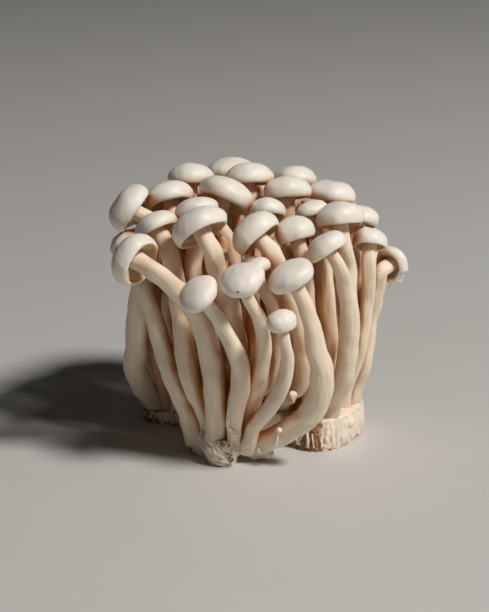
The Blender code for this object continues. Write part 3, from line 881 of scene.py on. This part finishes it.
def build_base(plans, balls, material):
    rng = np.random.default_rng([SEED, 900])
    grids = wall_ridges(rng) + foot_collars(plans, rng) + hanging_foot(rng)
    mesh = fused(grids)
    brown = worked(mesh)
    set_attribute(mesh, "brown", brown)
    # how much shade to paint on each point of the base, from the stems and caps that crowd over it
    set_attribute(mesh, "painted_shade", painted_shade(mesh_points(mesh), mesh_normals(mesh), balls))
    piece = new_piece("base_felt", mesh, material)
    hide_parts(BASE_NODE)
    return tree_of(mesh)


# ---------------------------------------------------------------------------------------------------------
# The small things that grow round the base


def curls(rng, tree):
    """A tangle of thin pale curls at the right of the butt."""
    grids = []
    for _ in range(11):
        x, z = rng.uniform(-9.2, -5.8), rng.uniform(3.5, 9.6)
        size = rng.uniform(0.8, 1.9)
        start, sweep = rng.uniform(0, TAU), rng.uniform(2.4, 4.4)
        line = []
        for share in np.linspace(0, 1, 7):
            angle = start + sweep * share
            place = on_wall(x + size * math.cos(angle), z + size * math.sin(angle), tree)
            line.append(place - (0, 0.3 + 0.5 * math.sin(3 * share), 0))
        grids.append(tube(line, np.linspace(0.42, 0.26, 7), rng, 0.15))
    return grids


def crumbs(rng, tree):
    """Brown crumbs of the growing block, caught among the strands at the right of the butt."""
    grids = []
    for middle_x, middle_z, spread, count in ((-9.6, 5.6, 1.1, 16), (-7.6, 2.2, 1.3, 9), (-12.2, 8.9, 0.6, 6),
                                              (-5.9, 6.6, 0.7, 10)):
        for _ in range(count):
            place = on_wall(rng.normal(middle_x, spread), max(rng.normal(middle_z, spread), 0.5), tree)
            along = unit(rng.normal(size=3)) * rng.uniform(0.25, 0.6)
            middle = place - (0, rng.uniform(0.1, 0.8), 0)
            thick = rng.uniform(0.16, 0.38)
            grids.append(tube([middle - along, middle, middle + along], [thick] * 3, rng, 0.25))
    return grids


def stemlets(rng, tree):
    """Four stemlets that never opened, on the brown face at the front of the main mass."""
    grids = []
    for share, length, thick, lean in ((0.12, 9.2, 0.62, 0.42), (0.38, 6.0, 0.42, -0.5),
                                       (0.66, 8.0, 0.52, 0.05), (0.88, 6.0, 0.3, 0.12)):
        x = 13.5 + 9.0 * share
        foot = on_wall(x + lean * length * 0.5, 1.5, tree) - (0, 0.15, 0)
        head = on_wall(x - lean * length * 0.5, 6.0, tree)
        head = np.array([head[0], head[1] - 0.3, 1.5 + length])
        middle = (foot + head) / 2 - (0, 0.5, 0)
        grids.append(tube([foot, middle, head], [thick * 1.25, thick, thick * 0.8], rng, 0.1))
    return grids


def lumps_of_flesh(rng):
    """Buds between the butt and the main mass."""
    grids = []
    for place, radius in (((4.8, -22.5, 3.2), 1.8), ((1.7, -25, 5.4), 1.2), ((-3, -28.6, 8.7), 0.45),
                          ((-8.7, -29.5, 10), 0.5), ((2.6, -21, 1.9), 1.3)):
        middle = np.array(place)
        grids.append(tube([middle - (0, 0, radius), middle, middle + (0.2, 0, radius)],
                          [radius] * 3, rng, 0.12))
    return grids


def hooked_strand(rng):
    """A rounded strand that stands before the stems and hooks to the right at its foot."""
    line = [(-9.6, -33.4, 26.5), (-9.7, -32.2, 21.0), (-10.0, -30.8, 17.4), (-9.2, -30.6, 15.4),
            (-7.6, -30.9, 14.2), (-5.2, -30.2, 13.9)]
    return [tube(line, [0.5, 0.6, 0.66, 0.68, 0.66, 0.5], rng, 0.08)]


def pins(rng):
    """A pin that never opened, before the lowest bend of front_3, and a stub between it and front_4."""
    line = [(7.2, -30.3, 9.6), (7.6, -31.6, 12.6), (8.2, -32.3, 15.0), (8.4, -32.5, 16.0),
            (8.6, -32.5, 17.3)]
    pin = tube(line, [0.9, 0.62, 0.6, 1.15, 0.9], rng, 0.05)
    line = [(12.2, -22.0, 22.6), (13.2, -22.6, 25.4), (14.1, -23.0, 27.6)]
    stub = tube(line, [1.7, 1.6, 1.5], rng, 0.08)
    return [pin, stub]


def build_small(tree):
    rng = np.random.default_rng([SEED, 901])
    pale = strand_material("strand_flesh_look", *STRAND_PALE)
    kinds = (
        ("butt_strands", butt_strands(rng, tree), "base_flesh"),
        ("butt_curls", curls(rng, tree), "base_flesh"),
        ("stemlets", stemlets(rng, tree), "base_flesh"),
        ("buds", lumps_of_flesh(rng), "base_flesh"),
        ("hooked_strand", hooked_strand(rng), "base_flesh"),
        ("pins", pins(rng), "mushroom_flesh"),
    )
    for name, grids, slot in kinds:
        new_piece(name, joined(name, grids), pale)
    brown = strand_material("crumb_look", *CRUMB_BROWN)
    new_piece("butt_crumbs", joined("butt_crumbs", crumbs(rng, tree)), brown)


# The radius of each, and the line that it follows.
INNER_STEMS = (
    (2.4, [(-6.0, 10.0, 12), (-6.8, 8.5, 50), (-6.8, 8.0, 91)]),
    (2.1, [(-12.0, -2.0, 12), (-11.8, -4.5, 45), (-11.7, -5.0, 82)]),
    (2.4, [(-3.0, 1.0, 12), (-2.4, -3.5, 45), (-2.2, -4.2, 82)]),
    (2.5, [(-25.0, 10.0, 12), (-26.6, 8.5, 45), (-26.8, 8.0, 84)]),
    (2.2, [(-33.0, 21.0, 4), (-38.6, 10.5, 36), (-39.0, 10.0, 62)]),
)


def build_inner_stems(material):
    """Stems that fill the last gaps inside the cluster, where the caps above hide their heads."""
    rng = np.random.default_rng([SEED, 903])
    grids = [tube(line, [radius * 1.1, radius, radius * 0.8], rng, 0.03) for radius, line in INNER_STEMS]
    mesh = joined("inner_stems", grids)
    places = np.array([tuple(vertex.co) for vertex in mesh.vertices]) / MM
    set_attribute(mesh, "grain", places * (1, 1, 0.07))
    # painted shade: an even middling amount all over, as they stand deep inside the cluster
    set_attribute(mesh, "painted_shade", np.full(len(places), 0.5))
    new_piece("inner_stems", mesh, material)


def build_thread(plan, material):
    """The thin thread that hangs from the lower edge of the torn cap."""
    rng = np.random.default_rng([SEED, 904])
    down = unit(np.array([0, 0, -1]) - plan.crown * -plan.crown[2])
    start = plan.rim + down * plan.radius * 0.93 + plan.crown * plan.height * 0.12
    line = [start, start + (-0.25, -0.2, -1.3), start + (-0.75, -0.3, -2.9)]
    new_piece("cap_thread", joined("cap_thread", [tube(line, [0.34, 0.2, 0.12], rng, 0.1)]), material)


SPECK_PLACE = (-6.2, 74.6)


def build_speck(piece):
    """A dark green speck low on the front of one cap."""
    rng = np.random.default_rng([SEED, 902])
    x, z = SPECK_PLACE
    place = tree_of(piece.data).ray_cast(Vector((x, -100, z)) * MM, Vector((0, 1, 0)))[0]
    middle = np.array(place) / MM
    line = [middle - (0.5, 0.02, 0.12), middle - (0, 0.08, 0), middle + (0.45, 0.02, 0.2)]
    mesh = joined("cap_speck", [tube(line, [0.2, 0.34, 0.2], rng, 0.2)])
    new_piece("cap_speck", mesh, strand_material("speck_look", *SPECK_GREEN))


# ---------------------------------------------------------------------------------------------------------
# Floor, lights and camera


def build_floor():
    bpy.ops.mesh.primitive_plane_add(size=12)
    floor = bpy.context.object
    floor.name = "floor"
    floor.data.materials.append(floor_material())


def area_light(name, place, size, watts, colour=(1, 1, 1)):
    data = bpy.data.lights.new(name, "AREA")
    data.shape = "DISK"
    data.size = size
    data.energy = watts
    data.color = colour
    lamp = bpy.data.objects.new(name, data)
    lamp.location = place
    lamp.rotation_euler = (Vector((0, 0, 0.05)) - Vector(place)).to_track_quat("-Z", "Y").to_euler()
    bpy.context.scene.collection.objects.link(lamp)


def build_lights():
    area_light("key", (1.12, -0.88, 1.72), 0.44, 44, (1.0, 0.97, 0.925))
    area_light("fill", (-0.9, -0.9, 0.5), 0.8, 0.05, (1.0, 0.95, 0.9))
    world = bpy.data.worlds.new("studio")
    world.use_nodes = True
    background = world.node_tree.nodes["Background"]
    background.inputs["Color"].default_value = (1.0, 0.97, 0.93, 1)
    background.inputs["Strength"].default_value = 0.018
    bpy.context.scene.world = world
    bpy.context.scene.view_settings.view_transform = "Standard"


def build_camera():
    data = bpy.data.cameras.new("camera")
    data.lens = FOCAL_LENGTH
    data.sensor_width = SENSOR
    camera = bpy.data.objects.new("camera", data)
    tilt = math.radians(ELEVATION)
    aim = Vector(AIM) * MM
    camera.location = aim + Vector((0, -math.cos(tilt), math.sin(tilt))) * (DISTANCE * MM)
    camera.rotation_euler = (math.radians(90 - ELEVATION), 0, 0)
    data.clip_start = 0.01
    data.clip_end = 50
    bpy.context.scene.collection.objects.link(camera)
    bpy.context.scene.camera = camera


def main():
    build_camera()
    names = sorted(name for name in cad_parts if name.startswith("mushroom_"))
    plans = [read_plan(name, number) for number, name in enumerate(names)]
    balls = cluster_balls(plans)
    flesh = flesh_material()
    made = {plan.node: build_mushroom(plan, balls, flesh) for plan in plans}
    build_speck(made["mushroom_front_2"])
    build_inner_stems(flesh)
    build_thread(next(plan for plan in plans if plan.node == TORN), flesh)
    tree = build_base(plans, balls, base_material())
    build_small(tree)
    build_floor()
    build_lights()


main()
